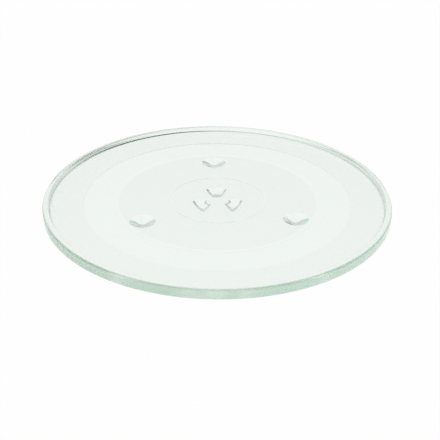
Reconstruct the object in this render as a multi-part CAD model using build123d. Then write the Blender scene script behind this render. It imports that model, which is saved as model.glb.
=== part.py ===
from build123d import *
import os
from math import cos, hypot, radians, sin, tan

# Microwave turntable plate: one piece of pressed glass.
# The frame is in millimetres, +Z up, with the origin on the plate's axis in the plane that its feet
# stand on. The first foot and the first drive lug point along +Y.

# Driving dimensions of the floor and the rim
plate_diameter = 288.0
floor_thickness = 5.7
rim_rise = 2.6
crown_width = 4.6
crown_radius = 2.0
shoulder_radius = 1.0
outer_draft = 0.5
inner_wall_lean = 45.0
inner_fillet_radius = 6.0
lower_corner_radius = 0.6

# Driving dimensions of the roller track, a shallow smooth recess that starts a gap outside the feet
track_gap = 2.2
track_width = 28.0
track_depth = 0.15
track_side_width = 3.0

# Driving dimensions of the moulding ring, a fine bead around the hub
ring_diameter = 79.5
ring_width = 1.6
ring_height = 0.1

# Driving dimensions of the drive lugs, between which the wings of the drive coupler engage
lug_count = 3
lug_half_angle = 28.0
lug_inner_flat = 9.0
lug_outer_radius = 21.0
lug_height = 4.3
lug_draft = 28.0
lug_corner_radius = 3.4
lug_edge_radius = 0.6
lug_root_radius = 0.4

# Driving dimensions of the feet, low domes that the plate stands on outside the oven
foot_count = 3
foot_circle_diameter = 142.0
foot_diameter = 21.0
foot_height = 4.7
foot_draft = 56.0
foot_edge_radius = 5.0
foot_root_radius = 0.8

# Direction of the first foot and the first drive lug, from +X
first_angle = 90.0

# Heights and radii that follow from them
plate_radius = plate_diameter / 2
underside_z = foot_height
floor_z = underside_z + floor_thickness
crown_z = floor_z + rim_rise

# Two points nearer than this are one place
same_place = 0.01


def section_face(outline):
    """Closed face in the XZ plane through outline, a list of (radius, height) points."""
    points = [(radius, 0, height) for radius, height in outline]
    return make_face(Polyline(*points, close=True))


def corner(face, radius, height):
    """The vertex of an XZ face that lies nearest to a point of its outline."""
    return face.vertices().sort_by_distance((radius, 0, height))[0]


def plate_body():
    """Floor and rim as one turned section, with the roller track and the moulding ring in it."""
    draft = radians(outer_draft)
    # The sharp corner that the crown rounds off stands a little outside the plate's widest line.
    outer_corner_radius = plate_radius + crown_radius * ((1 + sin(draft)) / cos(draft) - 1)
    wall_foot_radius = outer_corner_radius - (crown_z - underside_z) * tan(draft)
    crown_inner_radius = plate_radius - crown_width
    floor_radius = crown_inner_radius - rim_rise * tan(radians(inner_wall_lean))
    track_inner = (foot_circle_diameter + foot_diameter) / 2 + foot_root_radius + track_gap
    track_outer = track_inner + track_width
    track_z = underside_z + track_depth
    section = section_face(
        [
            (0, floor_z),
            (floor_radius, floor_z),
            (crown_inner_radius, crown_z),
            (outer_corner_radius, crown_z),
            (wall_foot_radius, underside_z),
            (track_outer, underside_z),
            (track_outer - track_side_width, track_z),
            (track_inner + track_side_width, track_z),
            (track_inner, underside_z),
            (0, underside_z),
        ]
    )
    section = fillet(corner(section, floor_radius, floor_z), inner_fillet_radius)
    section = fillet(corner(section, crown_inner_radius, crown_z), shoulder_radius)
    section = fillet(corner(section, outer_corner_radius, crown_z), crown_radius)
    section = fillet(corner(section, wall_foot_radius, underside_z), lower_corner_radius)
    return revolve(section, Axis.Z) + moulding_ring()


def moulding_ring():
    """Shallow bead around the hub: a circular segment as wide and as high as the bead, turned."""
    radius = ring_diameter / 2
    inner = (radius - ring_width / 2, 0, underside_z)
    outer = (radius + ring_width / 2, 0, underside_z)
    lowest = (radius, 0, underside_z - ring_height)
    return revolve(make_face([ThreePointArc(inner, lowest, outer), Line(outer, inner)]), Axis.Z)


def drive_lug():
    """One wedge with radial sides, a flat inner end, a round outer end and a sloped wall all round."""
    half = radians(lug_half_angle)
    inner_half_width = lug_inner_flat * tan(half)
    outer_x = lug_outer_radius * cos(half)
    outer_y = lug_outer_radius * sin(half)
    inner_left = (lug_inner_flat, inner_half_width)
    inner_right = (lug_inner_flat, -inner_half_width)
    outer_left = (outer_x, outer_y)
    outer_right = (outer_x, -outer_y)
    outline = [
        Line(inner_left, inner_right),
        Line(inner_right, outer_right),
        ThreePointArc(outer_right, (lug_outer_radius, 0), outer_left),
        Line(outer_left, inner_left),
    ]
    plan = make_face(outline)
    plan = fillet(plan.vertices(), lug_corner_radius)
    wedge = extrude(Pos(Z=underside_z) * plan, amount=lug_height, dir=(0, 0, -1), taper=lug_draft)
    lower_edges = wedge.edges().group_by(Axis.Z)[0]
    return fillet(lower_edges, lug_edge_radius)


def foot():
    """One round foot: a wide slope that turns over a large rounding into a small flat pad."""
    root_radius = foot_diameter / 2
    pad_radius = root_radius - foot_height * tan(radians(foot_draft))
    section = section_face([(0, underside_z), (root_radius, underside_z), (pad_radius, 0), (0, 0)])
    section = fillet(corner(section, pad_radius, 0), foot_edge_radius)
    return Pos(X=foot_circle_diameter / 2) * revolve(section, Axis.Z)


def around(feature, count):
    """Equal copies of a feature, evenly spaced around the plate's axis."""
    return [place * feature for place in PolarLocations(0, count, start_angle=first_angle)]


def with_rounded_roots(plate, nearest, farthest, radius):
    """Plate with the underside's edges between two distances from the axis blended by fillets."""
    level = plate.edges().filter_by_position(Axis.Z, underside_z - same_place, underside_z + same_place)
    roots = []
    for edge in level:
        middle = edge.position_at(0.5)
        if nearest - same_place < hypot(middle.X, middle.Y) < farthest + same_place:
            roots.append(edge)
    return fillet(roots, radius)


def glass_plate():
    """The whole plate: the turned body with its drive lugs and its feet."""
    foot_circle_radius = foot_circle_diameter / 2
    foot_radius = foot_diameter / 2
    plate = plate_body() + around(drive_lug(), lug_count) + around(foot(), foot_count)
    plate = with_rounded_roots(plate, 0, lug_outer_radius, lug_root_radius)
    nearest = foot_circle_radius - foot_radius
    farthest = foot_circle_radius + foot_radius
    return with_rounded_roots(plate, nearest, farthest, foot_root_radius)


os.makedirs("parts", exist_ok=True)
export_step(glass_plate(), "parts/glass_plate.step")
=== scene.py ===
import math

import bpy
import numpy as np
from mathutils import Matrix, Vector
from mathutils.geometry import tessellate_polygon


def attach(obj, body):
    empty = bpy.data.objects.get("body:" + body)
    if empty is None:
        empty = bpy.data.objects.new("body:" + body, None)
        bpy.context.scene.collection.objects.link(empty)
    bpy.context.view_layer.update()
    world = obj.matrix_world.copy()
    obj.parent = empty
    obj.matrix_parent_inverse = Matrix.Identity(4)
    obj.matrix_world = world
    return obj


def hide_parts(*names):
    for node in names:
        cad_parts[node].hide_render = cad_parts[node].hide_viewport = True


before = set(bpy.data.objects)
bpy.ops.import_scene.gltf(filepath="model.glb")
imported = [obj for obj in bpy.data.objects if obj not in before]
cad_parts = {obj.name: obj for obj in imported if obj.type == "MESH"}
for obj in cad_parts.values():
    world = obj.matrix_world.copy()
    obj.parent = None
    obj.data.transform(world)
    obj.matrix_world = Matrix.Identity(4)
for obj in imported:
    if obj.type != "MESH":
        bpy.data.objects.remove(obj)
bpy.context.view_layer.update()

# Looks of the microwave turntable plate: its pressed glass, a white floor, soft light and the camera.
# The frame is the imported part's: +Z up, origin on the plate's axis in the plane that its feet stand on.
# Lengths are in millimetres.

MM = 0.001
QUARTER_TURN = math.pi / 2.0
WHITE = (1.0, 1.0, 1.0, 1.0)

# Floor and rim of the plate
PLATE_RADIUS = 144.0
FLOOR_THICKNESS = 5.7
RIM_RISE = 2.6
CROWN_WIDTH = 4.6
CROWN_RADIUS = 2.0
SHOULDER_RADIUS = 1.0
OUTER_DRAFT = math.radians(0.5)
INNER_LEAN = math.radians(45.0)
INNER_FILLET = 6.0
LOWER_CORNER = 0.6

# Roller track of the underside
TRACK_INNER = 84.5
TRACK_OUTER = 112.5
TRACK_DEPTH = 0.15
TRACK_SIDE = 3.0

# Moulding ring around the hub
RING_RADIUS = 39.75
RING_WIDTH = 1.6
RING_HEIGHT = 0.1

# Drive lugs and feet
BOSS_ANGLES = np.radians([90.0, 210.0, 330.0])
LUG_HALF_ANGLE = math.radians(28.0)
LUG_INNER_FLAT = 9.0
LUG_OUTER_RADIUS = 21.0
LUG_HEIGHT = 4.3
LUG_DRAFT = math.radians(28.0)
LUG_CORNER = 3.4
LUG_EDGE = 0.6
LUG_ROOT = 0.4
FOOT_CIRCLE = 71.0
FOOT_RADIUS = 10.5
FOOT_HEIGHT = 4.7
FOOT_DRAFT = math.radians(56.0)
FOOT_EDGE = 5.0
FOOT_ROOT = 0.8

# Levels that follow from them
UNDERSIDE_Z = FOOT_HEIGHT
FLOOR_Z = UNDERSIDE_Z + FLOOR_THICKNESS
CROWN_Z = FLOOR_Z + RIM_RISE
TRACK_Z = UNDERSIDE_Z + TRACK_DEPTH

# Fine stipple of the underside: the radii of the smooth path between its disc and its band, the roughness
# of the three, and how far past the levels of the underside and the roller track a point may lie to have it
STIPPLE_INNER = 82.0
STIPPLE_OUTER = 110.2
DISC_ROUGHNESS = 0.1
PATH_ROUGHNESS = 0.0
BAND_ROUGHNESS = 0.15
STIPPLE_REACH = 0.03

# Share of the glass's own colour kept on the underside's stippled disc and on its stippled band: painted
# shade for the light that their stipple scatters away
DISC_PAINTED_SHADE_SHARE = 0.945
BAND_PAINTED_SHADE_SHARE = 0.96

# Refraction of the glass, the colour that it gives to light on the way in and out (its faint green,
# darkened a little as painted shade for the plate's shadow on the floor seen through it), its absorption
# along the way, per metre, and the times that light may be turned inside it
GLASS_IOR = 1.5
GLASS_GREEN_WITH_PAINTED_SHADE = (0.92, 0.967, 0.93)
ABSORPTION = (0.75, 0.02, 0.48)
GLASS_BOUNCES = 256

# White floor: half its side, the air between it and the feet, its matt colour, and the share of its tone
# that is plain white where the camera or the glass shows it
FLOOR_HALF_WIDTH = 60000.0
AIR_GAP = 0.05
FLOOR_COLOUR = (0.9, 0.9, 0.9, 1.0)
FLOOR_WHITE_SHARE = 0.985

# Light of the studio: an even white room with a dim patch in front on the right. The patch is given by the
# heading of its middle to the right of the front, by the elevation of its middle, and by the angles from
# there at which its edge begins and ends
ROOM_LIGHT = 0.712
DIM_LIGHT = 0.04
DIM_HEADING = math.radians(58.0)
DIM_ELEVATION = math.radians(41.0)
DIM_INNER_ANGLE = math.radians(26.0)
DIM_OUTER_ANGLE = math.radians(56.0)

# Camera: the photograph's view of the point on the axis at the crown's level, how far the camera sees, and
# the pixel that this point falls on
VIEW_DISTANCE = 760.0
VIEW_HEADING = math.radians(-2.8)
VIEW_ELEVATION = math.radians(27.585)
VIEW_ROLL = math.radians(0.55)
VIEW_REACH = 100000.0
FOCAL_PIXELS = 911.5
FRAME_PIXELS = 440.0
AIM_PIXEL = (217.43, 194.04)
SENSOR_WIDTH = 36.0

# Fineness of the grids: steps round a full turn, along the parts of a lug's outline, and along the
# stretches of a section
TURN_STEPS = 640
RING_STEPS = 320
FOOT_STEPS = 120
LUG_END_STEPS = 28
LUG_OUTER_CORNER_STEPS = 12
LUG_INNER_CORNER_STEPS = 10
ARC_STEPS = 16
LOWER_CORNER_STEPS = 8
WAVE_STEPS = 8
FLOOR_STEPS = 6
INNER_WALL_STEPS = 1
CROWN_STEPS = 2
OUTER_WALL_STEPS = 5
BAND_STEPS = 4
TRACK_STEPS = 3
BOSS_WALL_STEPS = 4

# Radius of the flat fill in the middle of the floor, and the decimals to which points in one place agree
FILL_RADIUS = 0.5
PLACE_DECIMALS = 5

# A section is an array with a row for each of its points: radius, height, and the two parts of the normal.
# A lug's outline has such rows too, with x and y in place of radius and height.


def straight(start, end, steps):
    """Section points on a line: start + t (end - start). The normal is the line's, turned to its left."""
    t = np.linspace(0.0, 1.0, steps + 1)[:, None]
    start, end = np.array(start), np.array(end)
    along = (end - start) / np.linalg.norm(end - start)
    normal = np.array([-along[1], along[0]])
    return np.hstack([start + t * (end - start), np.broadcast_to(normal, (steps + 1, 2))])


def rounding(centre, radius, first, last, steps=ARC_STEPS, hollow=False):
    """Section points on an arc: centre + radius (cos a, sin a), with a from first to last.

    The normal is that direction, or its opposite where the arc is hollow.
    """
    a = np.linspace(first, last, steps + 1)
    out = np.stack([np.cos(a), np.sin(a)], axis=1)
    return np.hstack([np.array(centre) + radius * out, -out if hollow else out])


def wave(start, end):
    """Section points on half a cosine wave between two heights, level at both ends. Normals point down."""
    t = np.linspace(0.0, 1.0, WAVE_STEPS + 1)
    (r0, z0), (r1, z1) = start, end
    r = r0 + t * (r1 - r0)
    z = z0 + (z1 - z0) * (1.0 - np.cos(np.pi * t)) / 2.0
    slope = (z1 - z0) / (r1 - r0) * np.pi / 2.0 * np.sin(np.pi * t)
    normal = np.stack([slope, -np.ones_like(slope)], axis=1)
    normal /= np.linalg.norm(normal, axis=1, keepdims=True)
    return np.hstack([np.stack([r, z], axis=1), normal])


def chain(*stretches):
    """Stretches of a section joined end to end, each shared point once."""
    return np.vstack([stretches[0]] + [stretch[1:] for stretch in stretches[1:]])


def rim_section():
    """Section from the floor's middle over the rim and in under the floor, past the roller track.

    Straight stretches join the roundings, and a rounding's centre is its radius away from both its lines.
    """
    sin_o, cos_o = math.sin(OUTER_DRAFT), math.cos(OUTER_DRAFT)
    sin_i, cos_i = math.sin(INNER_LEAN), math.cos(INNER_LEAN)
    crown_inner = PLATE_RADIUS - CROWN_WIDTH
    fillet = (
        crown_inner - (INNER_FILLET + (RIM_RISE - INNER_FILLET) * sin_i) / cos_i,
        FLOOR_Z + INNER_FILLET,
    )
    shoulder = (crown_inner + SHOULDER_RADIUS * (1.0 - sin_i) / cos_i, CROWN_Z - SHOULDER_RADIUS)
    outer_crown = (PLATE_RADIUS - CROWN_RADIUS, CROWN_Z - CROWN_RADIUS)
    lower_z = UNDERSIDE_Z + LOWER_CORNER
    lower = (
        outer_crown[0] + (CROWN_RADIUS - LOWER_CORNER + (lower_z - outer_crown[1]) * sin_o) / cos_o,
        lower_z,
    )
    floor_fillet = rounding(fillet, INNER_FILLET, -QUARTER_TURN, -INNER_LEAN, hollow=True)
    crown_in = rounding(shoulder, SHOULDER_RADIUS, math.pi - INNER_LEAN, QUARTER_TURN)
    crown_out = rounding(outer_crown, CROWN_RADIUS, QUARTER_TURN, -OUTER_DRAFT)
    corner = rounding(lower, LOWER_CORNER, -OUTER_DRAFT, -QUARTER_TURN, LOWER_CORNER_STEPS)
    track_out = wave((TRACK_OUTER, UNDERSIDE_Z), (TRACK_OUTER - TRACK_SIDE, TRACK_Z))
    track_in = wave((TRACK_INNER + TRACK_SIDE, TRACK_Z), (TRACK_INNER, UNDERSIDE_Z))
    return chain(
        straight((FILL_RADIUS, FLOOR_Z), floor_fillet[0, :2], FLOOR_STEPS),
        floor_fillet,
        straight(floor_fillet[-1, :2], crown_in[0, :2], INNER_WALL_STEPS),
        crown_in,
        straight(crown_in[-1, :2], crown_out[0, :2], CROWN_STEPS),
        crown_out,
        straight(crown_out[-1, :2], corner[0, :2], OUTER_WALL_STEPS),
        corner,
        straight(corner[-1, :2], track_out[0, :2], BAND_STEPS),
        track_out,
        straight(track_out[-1, :2], track_in[0, :2], TRACK_STEPS),
        track_in,
    )


def ring_section():
    """Section of the moulding ring, from outside in: a full cosine wave that bulges below the underside."""
    half = RING_WIDTH / 2.0
    lowest = (RING_RADIUS, UNDERSIDE_Z - RING_HEIGHT)
    return chain(
        wave((RING_RADIUS + half, UNDERSIDE_Z), lowest),
        wave(lowest, (RING_RADIUS - half, UNDERSIDE_Z)),
    )


def boss_section(height, draft, edge, root):
    """Section of a lug's or foot's wall: rounded lower edge, drafted wall and hollow root.

    It has offsets from the boss's outline in place of radii.
    """
    sine, cosine = math.sin(draft), math.cos(draft)
    edge_centre = ((-edge + (edge - height) * sine) / cosine, UNDERSIDE_Z - height + edge)
    root_centre = (root * (1.0 - sine) / cosine, UNDERSIDE_Z - root)
    lower = rounding(edge_centre, edge, -QUARTER_TURN, -draft)
    upper = rounding(root_centre, root, math.pi - draft, QUARTER_TURN, hollow=True)
    wall = straight(lower[-1, :2], upper[0, :2], BOSS_WALL_STEPS)
    # The wall runs upwards, so the normal on its left would point into the glass.
    wall[:, 2:] = lower[-1, 2:]
    return chain(lower, wall, upper)


def circle(steps):
    """Directions round a full turn: (cos a, sin a)."""
    a = np.arange(steps) * (2.0 * math.pi / steps)
    return np.stack([np.cos(a), np.sin(a)], axis=1)


def foot_outline(angle):
    """Points and outward normals of a foot's round outline: centre + radius (cos a, sin a)."""
    out = circle(FOOT_STEPS)
    centre = FOOT_CIRCLE * np.array([math.cos(angle), math.sin(angle)])
    return centre + FOOT_RADIUS * out, out


def lug_outline(angle):
    """Points and outward normals of a lug's outline: radial sides, flat inner end, round outer end.

    Each corner is an arc, with its centre a corner radius inside the two sides that it joins.
    """
    half, corner = LUG_HALF_ANGLE, LUG_CORNER
    outer = LUG_OUTER_RADIUS - corner
    end_angle = half - math.asin(corner / outer)
    outer_x, outer_y = outer * math.cos(end_angle), outer * math.sin(end_angle)
    inner_x = LUG_INNER_FLAT + corner
    inner_y = inner_x * math.tan(half) - corner / math.cos(half)
    side_angle = half + QUARTER_TURN
    end = rounding((0.0, 0.0), LUG_OUTER_RADIUS, -end_angle, end_angle, LUG_END_STEPS)
    outer_left = rounding((outer_x, outer_y), corner, end_angle, side_angle, LUG_OUTER_CORNER_STEPS)
    inner_left = rounding((inner_x, inner_y), corner, side_angle, math.pi, LUG_INNER_CORNER_STEPS)
    inner_right = rounding((inner_x, -inner_y), corner, -math.pi, -side_angle, LUG_INNER_CORNER_STEPS)
    outer_right = rounding((outer_x, -outer_y), corner, -side_angle, -end_angle, LUG_OUTER_CORNER_STEPS)
    outline = np.vstack([end[:-1], outer_left, inner_left, inner_right, outer_right[:-1]])
    turn = np.array([[math.cos(angle), math.sin(angle)], [-math.sin(angle), math.cos(angle)]])
    return outline[:, :2] @ turn, outline[:, 2:] @ turn


class Surface:
    """Patches of points, normals and faces, gathered to be sewn into one closed mesh."""

    def __init__(self):
        self.points = []
        self.normals = []
        self.faces = []
        self.count = 0

    def add(self, points, normals, faces):
        """Adds a patch, with its faces counted from its own first point."""
        self.points.append(points.reshape(-1, 3))
        self.normals.append(normals.reshape(-1, 3))
        self.faces.append(self.count + faces)
        self.count += len(self.points[-1])

    def carried(self, section, outline, out):
        """A section carried along a closed outline: point (i, j) is outline j + offset i along normal j.

        Gives the loops of its first and last rows.
        """
        rows, columns = len(section), len(outline)
        xy = outline + section[:, None, :1] * out
        z = np.broadcast_to(section[:, None, 1:2], (rows, columns, 1))
        normal_xy = section[:, None, 2:3] * out
        normal_z = np.broadcast_to(section[:, None, 3:], (rows, columns, 1))
        number = np.arange(rows * columns).reshape(rows, columns)
        beside = np.roll(number, -1, axis=1)
        quads = np.stack([number[:-1], beside[:-1], beside[1:], number[1:]], axis=-1)
        self.add(
            np.concatenate([xy, z], axis=-1),
            np.concatenate([normal_xy, normal_z], axis=-1),
            quads.reshape(-1, 4),
        )
        return xy[0], xy[-1]

    def level(self, loops, z, up):
        """A flat patch at one height, bounded by the first loop, with the other loops as holes."""
        flat = [np.pad(loop, ((0, 0), (0, 1))) for loop in loops]
        triangles = tessellate_polygon([list(map(Vector, loop)) for loop in flat])
        points = np.vstack(flat)
        points[:, 2] = z
        normals = np.broadcast_to([0.0, 0.0, 1.0 if up else -1.0], points.shape)
        self.add(points, normals, np.array(triangles))

    def sewn(self, name):
        """One smooth mesh object: points in one place are joined, and each face is turned to its normals.

        A face is turned round where the cross product of its first two sides points against its normals.
        """
        points, normals = np.vstack(self.points), np.vstack(self.normals)
        places = np.round(points, PLACE_DECIMALS)
        _, first, joined = np.unique(places, axis=0, return_index=True, return_inverse=True)
        joined = joined.reshape(-1)
        points, normals = points[first], normals[first]
        faces = []
        for patch in self.faces:
            corners = joined[patch]
            a, b, c = (points[corners[:, i]] for i in range(3))
            outwards = normals[corners[:, :3]].sum(axis=1)
            facing = np.einsum("ij,ij->i", np.cross(b - a, c - a), outwards)
            faces += np.where(facing[:, None] < 0.0, corners[:, ::-1], corners).tolist()
        mesh = bpy.data.meshes.new(name)
        mesh.from_pydata((points * MM).tolist(), [], faces)
        mesh.polygons.foreach_set("use_smooth", np.ones(len(faces), dtype=bool))
        mesh.update()
        mesh.normals_split_custom_set_from_vertices(normals.tolist())
        piece = bpy.data.objects.new(name, mesh)
        bpy.context.scene.collection.objects.link(piece)
        return piece


def pressed_plate():
    """The whole plate: turned rim and floor, moulding ring, three lugs, three feet and the flat fills."""
    surface = Surface()
    turn, ring_turn = circle(TURN_STEPS), circle(RING_STEPS)
    floor_middle, track_edge = surface.carried(rim_section(), np.zeros_like(turn), turn)
    surface.level([floor_middle], FLOOR_Z, True)
    ring_outside, ring_inside = surface.carried(ring_section(), np.zeros_like(ring_turn), ring_turn)
    foot_wall = boss_section(FOOT_HEIGHT, FOOT_DRAFT, FOOT_EDGE, FOOT_ROOT)
    lug_wall = boss_section(LUG_HEIGHT, LUG_DRAFT, LUG_EDGE, LUG_ROOT)
    foot_roots, lug_roots = [], []
    for angle in BOSS_ANGLES:
        tip, root = surface.carried(foot_wall, *foot_outline(angle))
        surface.level([tip], UNDERSIDE_Z - FOOT_HEIGHT, False)
        foot_roots.append(root)
        tip, root = surface.carried(lug_wall, *lug_outline(angle))
        surface.level([tip], UNDERSIDE_Z - LUG_HEIGHT, False)
        lug_roots.append(root)
    surface.level([track_edge, ring_outside] + foot_roots, UNDERSIDE_Z, False)
    surface.level([ring_inside] + lug_roots, UNDERSIDE_Z, False)
    return surface.sewn("pressed_glass_plate")


def new_material(name):
    """A node material with nothing in it but its output."""
    material = bpy.data.materials.new(name)
    material.use_nodes = True
    tree = material.node_tree
    tree.nodes.clear()
    return material, tree, tree.nodes.new("ShaderNodeOutputMaterial")


def worked_out(tree, kind, operation, *given):
    """Outputs of a node that does one operation on what is given: other nodes' outputs or plain values."""
    node = tree.nodes.new(kind)
    node.operation = operation
    for socket, value in zip(node.inputs, given):
        if isinstance(value, bpy.types.NodeSocket):
            tree.links.new(value, socket)
        else:
            socket.default_value = value
    return node.outputs


def underside_places(tree):
    """Where a point lies: its distance from the axis over the plate's radius, and one if at the underside.

    A point is at the underside if its height is that of the underside or the roller track, or near it.
    """
    place = tree.nodes.new("ShaderNodeTexCoord").outputs["Object"]
    flat = worked_out(tree, "ShaderNodeVectorMath", "MULTIPLY", place, (1.0, 1.0, 0.0))["Vector"]
    distance = worked_out(tree, "ShaderNodeVectorMath", "LENGTH", flat)["Value"]
    share = worked_out(tree, "ShaderNodeMath", "DIVIDE", distance, PLATE_RADIUS * MM)["Value"]
    parts = tree.nodes.new("ShaderNodeSeparateXYZ")
    tree.links.new(place, parts.inputs["Vector"])
    middle = (UNDERSIDE_Z + TRACK_Z) / 2.0 * MM
    reach = (TRACK_DEPTH / 2.0 + STIPPLE_REACH) * MM
    under = worked_out(tree, "ShaderNodeMath", "COMPARE", parts.outputs["Z"], middle, reach)["Value"]
    return share, under


def zones(tree, share, disc, path, band):
    """A colour that steps with the distance from the axis: stippled disc, smooth path and stippled band."""
    ramp = tree.nodes.new("ShaderNodeValToRGB")
    ramp.color_ramp.interpolation = "CONSTANT"
    ramp.color_ramp.elements.new(1.0)
    steps = [(0.0, disc), (STIPPLE_INNER, path), (STIPPLE_OUTER, band)]
    for element, (radius, colour) in zip(ramp.color_ramp.elements, steps):
        element.position = radius / PLATE_RADIUS
        element.color = (*colour, 1.0)
    tree.links.new(share, ramp.inputs["Fac"])
    return ramp.outputs["Color"]


def pressed_glass():
    """Clear glass with a faint green body that carries a little painted shade, and an underside that is
    stippled but for the rollers' path, with more painted shade on the stipple.
    """
    material, tree, output = new_material("pressed_glass")
    glass = tree.nodes.new("ShaderNodeBsdfPrincipled")
    glass.inputs["IOR"].default_value = GLASS_IOR
    glass.inputs["Transmission Weight"].default_value = 1.0
    share, under = underside_places(tree)
    stipple = zones(tree, share, (DISC_ROUGHNESS,) * 3, (PATH_ROUGHNESS,) * 3, (BAND_ROUGHNESS,) * 3)
    roughness = worked_out(tree, "ShaderNodeMath", "MULTIPLY", stipple, under)["Value"]
    tree.links.new(roughness, glass.inputs["Roughness"])
    # Painted shade: the glass's colour is darker on the stippled disc and band of the underside.
    disc_painted_shade_tint = tuple(DISC_PAINTED_SHADE_SHARE * part for part in GLASS_GREEN_WITH_PAINTED_SHADE)
    band_painted_shade_tint = tuple(BAND_PAINTED_SHADE_SHARE * part for part in GLASS_GREEN_WITH_PAINTED_SHADE)
    tint = tree.nodes.new("ShaderNodeMix")
    tint.data_type = "RGBA"
    # The glass's colour: its faint green, darkened a little as painted shade for the plate's shadow on the
    # floor seen through it.
    tint.inputs["A"].default_value = (*GLASS_GREEN_WITH_PAINTED_SHADE, 1.0)
    tree.links.new(under, tint.inputs["Factor"])
    tree.links.new(zones(tree, share, disc_painted_shade_tint, GLASS_GREEN_WITH_PAINTED_SHADE, band_painted_shade_tint), tint.inputs["B"])
    tree.links.new(tint.outputs["Result"], glass.inputs["Base Color"])
    body = tree.nodes.new("ShaderNodeVolumeAbsorption")
    body.inputs["Color"].default_value = (*(1.0 - rate / max(ABSORPTION) for rate in ABSORPTION), 1.0)
    body.inputs["Density"].default_value = max(ABSORPTION)
    tree.links.new(glass.outputs["BSDF"], output.inputs["Surface"])
    tree.links.new(body.outputs["Volume"], output.inputs["Volume"])
    return material


def white_floor():
    """A large matt white floor. To the camera, and through and in the glass, most of it is plain white."""
    material, tree, output = new_material("white_floor")
    matt = tree.nodes.new("ShaderNodeBsdfDiffuse")
    matt.inputs["Color"].default_value = FLOOR_COLOUR
    plain = tree.nodes.new("ShaderNodeEmission")
    plain.inputs["Color"].default_value = WHITE
    path = tree.nodes.new("ShaderNodeLightPath").outputs
    either = worked_out(tree, "ShaderNodeMath", "MAXIMUM", path["Is Camera Ray"], path["Is Glossy Ray"])
    seen = worked_out(tree, "ShaderNodeMath", "MAXIMUM", either["Value"], path["Is Transmission Ray"])
    share = worked_out(tree, "ShaderNodeMath", "MULTIPLY", seen["Value"], FLOOR_WHITE_SHARE)
    mix = tree.nodes.new("ShaderNodeMixShader")
    tree.links.new(share["Value"], mix.inputs["Fac"])
    tree.links.new(matt.outputs["BSDF"], mix.inputs[1])
    tree.links.new(plain.outputs["Emission"], mix.inputs[2])
    tree.links.new(mix.outputs["Shader"], output.inputs["Surface"])
    # The plain white is only looked at, so it isn't sampled as a lamp.
    material.cycles.emission_sampling = "NONE"
    half, z = FLOOR_HALF_WIDTH * MM, -AIR_GAP * MM
    mesh = bpy.data.meshes.new("studio_floor")
    corners = [(-half, -half, z), (half, -half, z), (half, half, z), (-half, half, z)]
    mesh.from_pydata(corners, [], [(0, 1, 2, 3)])
    mesh.materials.append(material)
    floor = bpy.data.objects.new("studio_floor", mesh)
    bpy.context.scene.collection.objects.link(floor)


def towards(heading, elevation):
    """Direction at a heading to the right of the front: (sin h cos e, -cos h cos e, sin e)."""
    level = math.cos(elevation)
    return Vector((math.sin(heading) * level, -math.cos(heading) * level, math.sin(elevation)))


def soft_sky():
    """Soft studio light from all round, with one dim patch.

    Across the patch's edge the strength is linear in the cosine of the angle from the patch's middle.
    """
    world = bpy.data.worlds.new("soft_sky")
    bpy.context.scene.world = world
    world.use_nodes = True
    tree = world.node_tree
    tree.nodes.clear()
    output = tree.nodes.new("ShaderNodeOutputWorld")
    light = tree.nodes.new("ShaderNodeBackground")
    light.inputs["Color"].default_value = WHITE
    place = tree.nodes.new("ShaderNodeTexCoord").outputs["Generated"]
    patch = towards(DIM_HEADING, DIM_ELEVATION)
    nearness = worked_out(tree, "ShaderNodeVectorMath", "DOT_PRODUCT", place, patch)["Value"]
    strength = tree.nodes.new("ShaderNodeMapRange")
    strength.inputs["From Min"].default_value = math.cos(DIM_OUTER_ANGLE)
    strength.inputs["From Max"].default_value = math.cos(DIM_INNER_ANGLE)
    strength.inputs["To Min"].default_value = ROOM_LIGHT
    strength.inputs["To Max"].default_value = DIM_LIGHT
    tree.links.new(nearness, strength.inputs["Value"])
    tree.links.new(strength.outputs["Result"], light.inputs["Strength"])
    tree.links.new(light.outputs["Background"], output.inputs["Surface"])


def photograph_camera():
    """A camera on a sphere about the aim point, turned so that this point falls on its pixel."""
    direction = towards(VIEW_HEADING, VIEW_ELEVATION)
    aim = Vector((0.0, 0.0, CROWN_Z * MM))
    look = direction.to_track_quat("Z", "Y").to_matrix()
    tilt_x = math.atan2(AIM_PIXEL[0] - FRAME_PIXELS / 2, FOCAL_PIXELS)
    tilt_y = math.atan2(FRAME_PIXELS / 2 - AIM_PIXEL[1], FOCAL_PIXELS)
    roll = Matrix.Rotation(VIEW_ROLL, 3, "Z")
    turn = roll @ Matrix.Rotation(tilt_x, 3, "Y") @ Matrix.Rotation(-tilt_y, 3, "X")
    data = bpy.data.cameras.new("photograph_camera")
    data.sensor_width = SENSOR_WIDTH
    data.lens = FOCAL_PIXELS / FRAME_PIXELS * SENSOR_WIDTH
    data.clip_end = VIEW_REACH * MM
    camera = bpy.data.objects.new("photograph_camera", data)
    camera.matrix_world = Matrix.Translation(aim + direction * VIEW_DISTANCE * MM) @ (look @ turn).to_4x4()
    bpy.context.scene.collection.objects.link(camera)
    bpy.context.scene.camera = camera


plate = pressed_plate()
plate.data.materials.append(pressed_glass())
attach(plate, "root")
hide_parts("glass_plate")
white_floor()
soft_sky()
photograph_camera()
bpy.context.scene.view_settings.view_transform = "Standard"
bpy.context.scene.cycles.max_bounces = GLASS_BOUNCES
bpy.context.scene.cycles.glossy_bounces = GLASS_BOUNCES
bpy.context.scene.cycles.transmission_bounces = GLASS_BOUNCES
